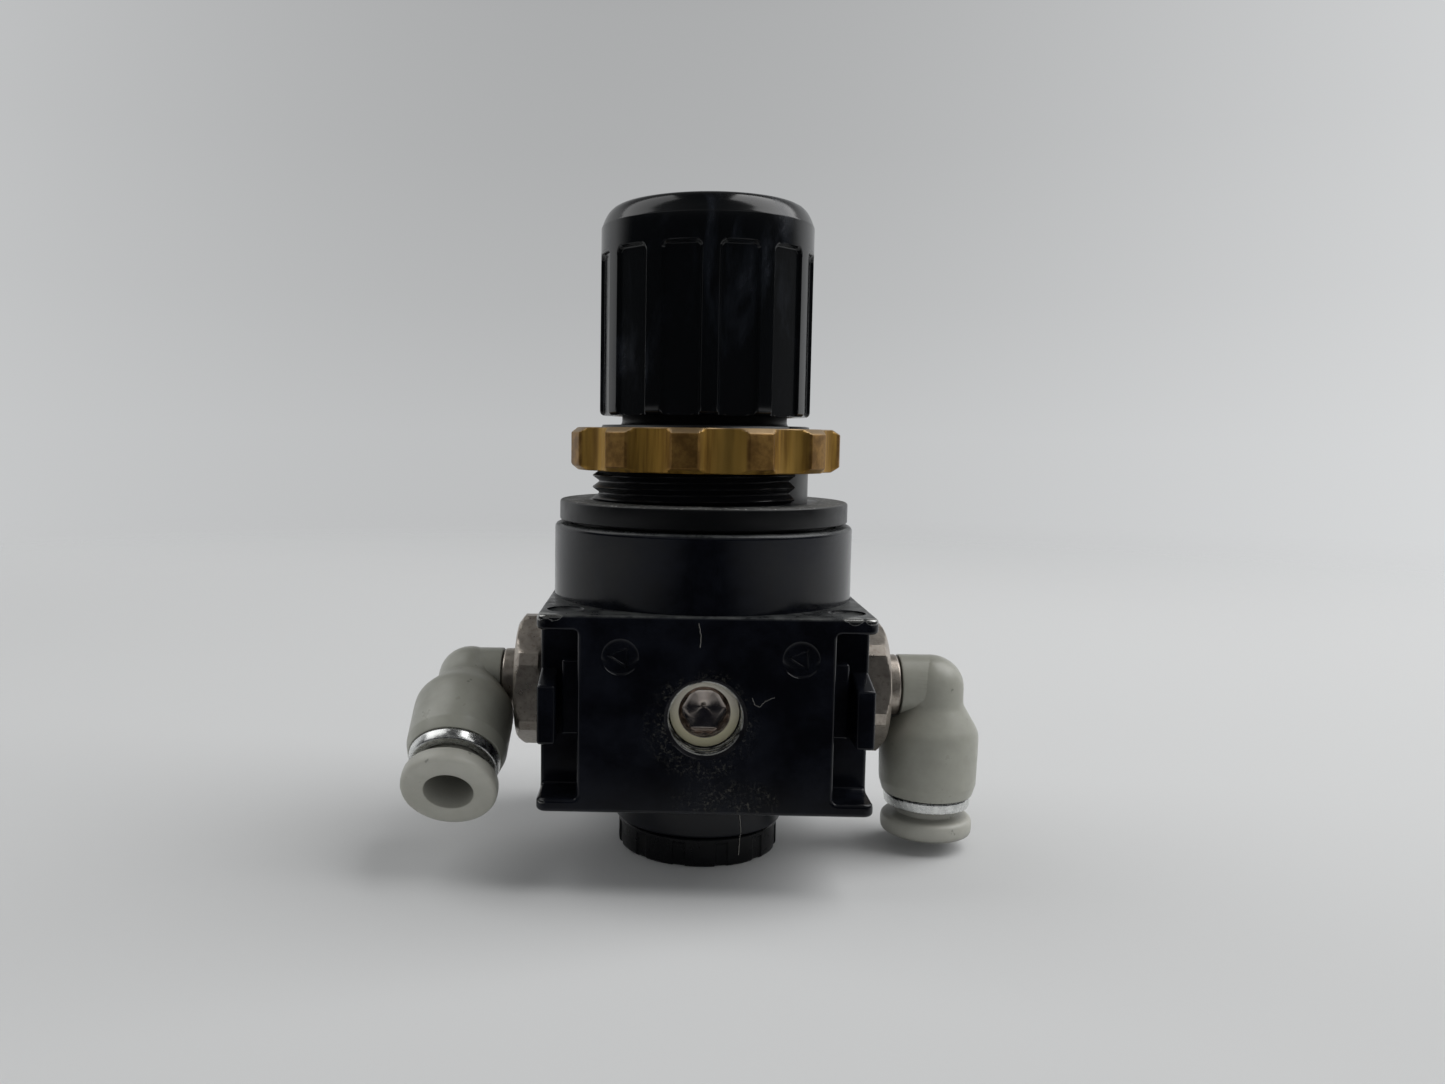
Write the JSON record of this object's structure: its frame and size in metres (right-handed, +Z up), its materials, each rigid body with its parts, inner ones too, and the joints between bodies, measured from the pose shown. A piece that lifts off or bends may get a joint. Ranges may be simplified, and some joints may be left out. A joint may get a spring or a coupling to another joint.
{
  "type": "air pressure regulator",
  "caption": "Panel-mount air pressure regulator: square ported body, knob-adjusted spring and diaphragm inside, brass panel nut, elbow push-in fittings on both sides.",
  "frame": {"origin": "centre of the bottom cap's underside, on the knob axis", "axes": "+Z up along the knob axis, -Y towards the front gauge port, -X towards the outlet fitting, +X towards the inlet fitting"},
  "size_m": [0.075, 0.0406, 0.0844],
  "materials": {
    "body_paint": "satin black enamel on die-cast metal, worn bright at the top corners",
    "bonnet_resin": "satin black moulded resin with a light film of dust",
    "knob_resin": "glossy black moulded resin",
    "cap_resin": "satin black moulded resin",
    "nut_brass": "machined yellow brass, streaked",
    "inner_brass": "turned brass",
    "nickel": "nickel-plated brass, satin",
    "guide_chrome": "polished plated ring",
    "spring_steel": "drawn spring steel",
    "spindle_steel": "turned plated steel",
    "zinc_parts": "die-cast plate and nut, satin",
    "elbow_resin": "warm light grey moulded resin",
    "button_resin": "light grey moulded resin",
    "rubber": "black nitrile rubber"
  },
  "bodies": {
    "regulator_body": {"body": "body_paint", "valve_seat": "inner_brass", "bottom_cap": "cap_resin", "bottom_cap_seal": "rubber", "bonnet": "bonnet_resin", "knob_retaining_ring": "spring_steel", "thrust_washer": "inner_brass", "front_plug": "nickel", "rear_plug": "nickel", "left_stud": "nickel", "left_stud_seal": "rubber", "left_swivel_seal": "rubber", "right_stud": "nickel", "right_stud_seal": "rubber", "right_swivel_seal": "rubber", "main_spring": "spring_steel", "valve_spring": "spring_steel", "diaphragm": "rubber"},
    "spindle": {"adjusting_spindle": "spindle_steel"},
    "knob": {"knob": "knob_resin"},
    "spring_nut": {"spring_nut": "zinc_parts"},
    "pressure_plate": {"diaphragm_plate": "zinc_parts", "relief_hub": "inner_brass"},
    "supply_valve": {"valve_poppet": "inner_brass", "valve_seal": "rubber"},
    "panel_nut": {"panel_nut": "nut_brass"},
    "left_elbow": {"left_elbow": "elbow_resin", "left_tube_seal": "rubber", "left_collet": "spring_steel", "left_guide_ring": "guide_chrome"},
    "left_release": {"left_release_ring": "button_resin"},
    "right_elbow": {"right_elbow": "elbow_resin", "right_tube_seal": "rubber", "right_collet": "spring_steel", "right_guide_ring": "guide_chrome"},
    "right_release": {"right_release_ring": "button_resin"}
  },
  "joints": [
    {"name": "spindle_turn", "type": "hinge", "parent": "regulator_body", "child": "spindle", "pos_m": [0, 0, 0.0648], "axis": [0, 0, -1], "range_deg": [0, 2160]},
    {"name": "knob_pull", "type": "slide", "parent": "spindle", "child": "knob", "axis": [0, 0, 1], "range_m": [0, 0.0025]},
    {"name": "spring_nut_travel", "type": "slide", "parent": "regulator_body", "child": "spring_nut", "axis": [0, 0, -1], "range_m": [0, 0.0075], "deforming": ["main_spring"]},
    {"name": "diaphragm_stroke", "type": "slide", "parent": "regulator_body", "child": "pressure_plate", "axis": [0, 0, -1], "range_m": [0, 0.0008], "stiffness_N_per_m": 300, "springref_m": -0.0005, "deforming": ["diaphragm", "main_spring"]},
    {"name": "valve_stroke", "type": "slide", "parent": "regulator_body", "child": "supply_valve", "axis": [0, 0, -1], "range_m": [0, 0.0008], "deforming": ["valve_spring"]},
    {"name": "panel_nut_turn", "type": "hinge", "parent": "regulator_body", "child": "panel_nut", "pos_m": [0, 0, 0.0531], "axis": [0, 0, 1], "continuous": true},
    {"name": "left_swivel", "type": "hinge", "parent": "regulator_body", "child": "left_elbow", "pos_m": [-0.027, 0, 0.02185], "axis": [1, 0, 0], "continuous": true},
    {"name": "left_release_press", "type": "slide", "parent": "left_elbow", "child": "left_release", "axis": [0, 0.848, 0.5299], "range_m": [0, 0.0008], "stiffness_N_per_m": 200, "springref_m": -0.0005},
    {"name": "right_swivel", "type": "hinge", "parent": "regulator_body", "child": "right_elbow", "pos_m": [0.027, 0, 0.02185], "axis": [1, 0, 0], "continuous": true},
    {"name": "right_release_press", "type": "slide", "parent": "right_elbow", "child": "right_release", "axis": [0, 0, 1], "range_m": [0, 0.0008], "stiffness_N_per_m": 200, "springref_m": -0.0005}
  ],
  "couplings": [
    {"joint": "spring_nut_travel", "follows": "spindle_turn", "m_per_rad": 0.00019894},
    {"joint": "valve_stroke", "follows": "diaphragm_stroke", "ratio": 1}
  ]
}
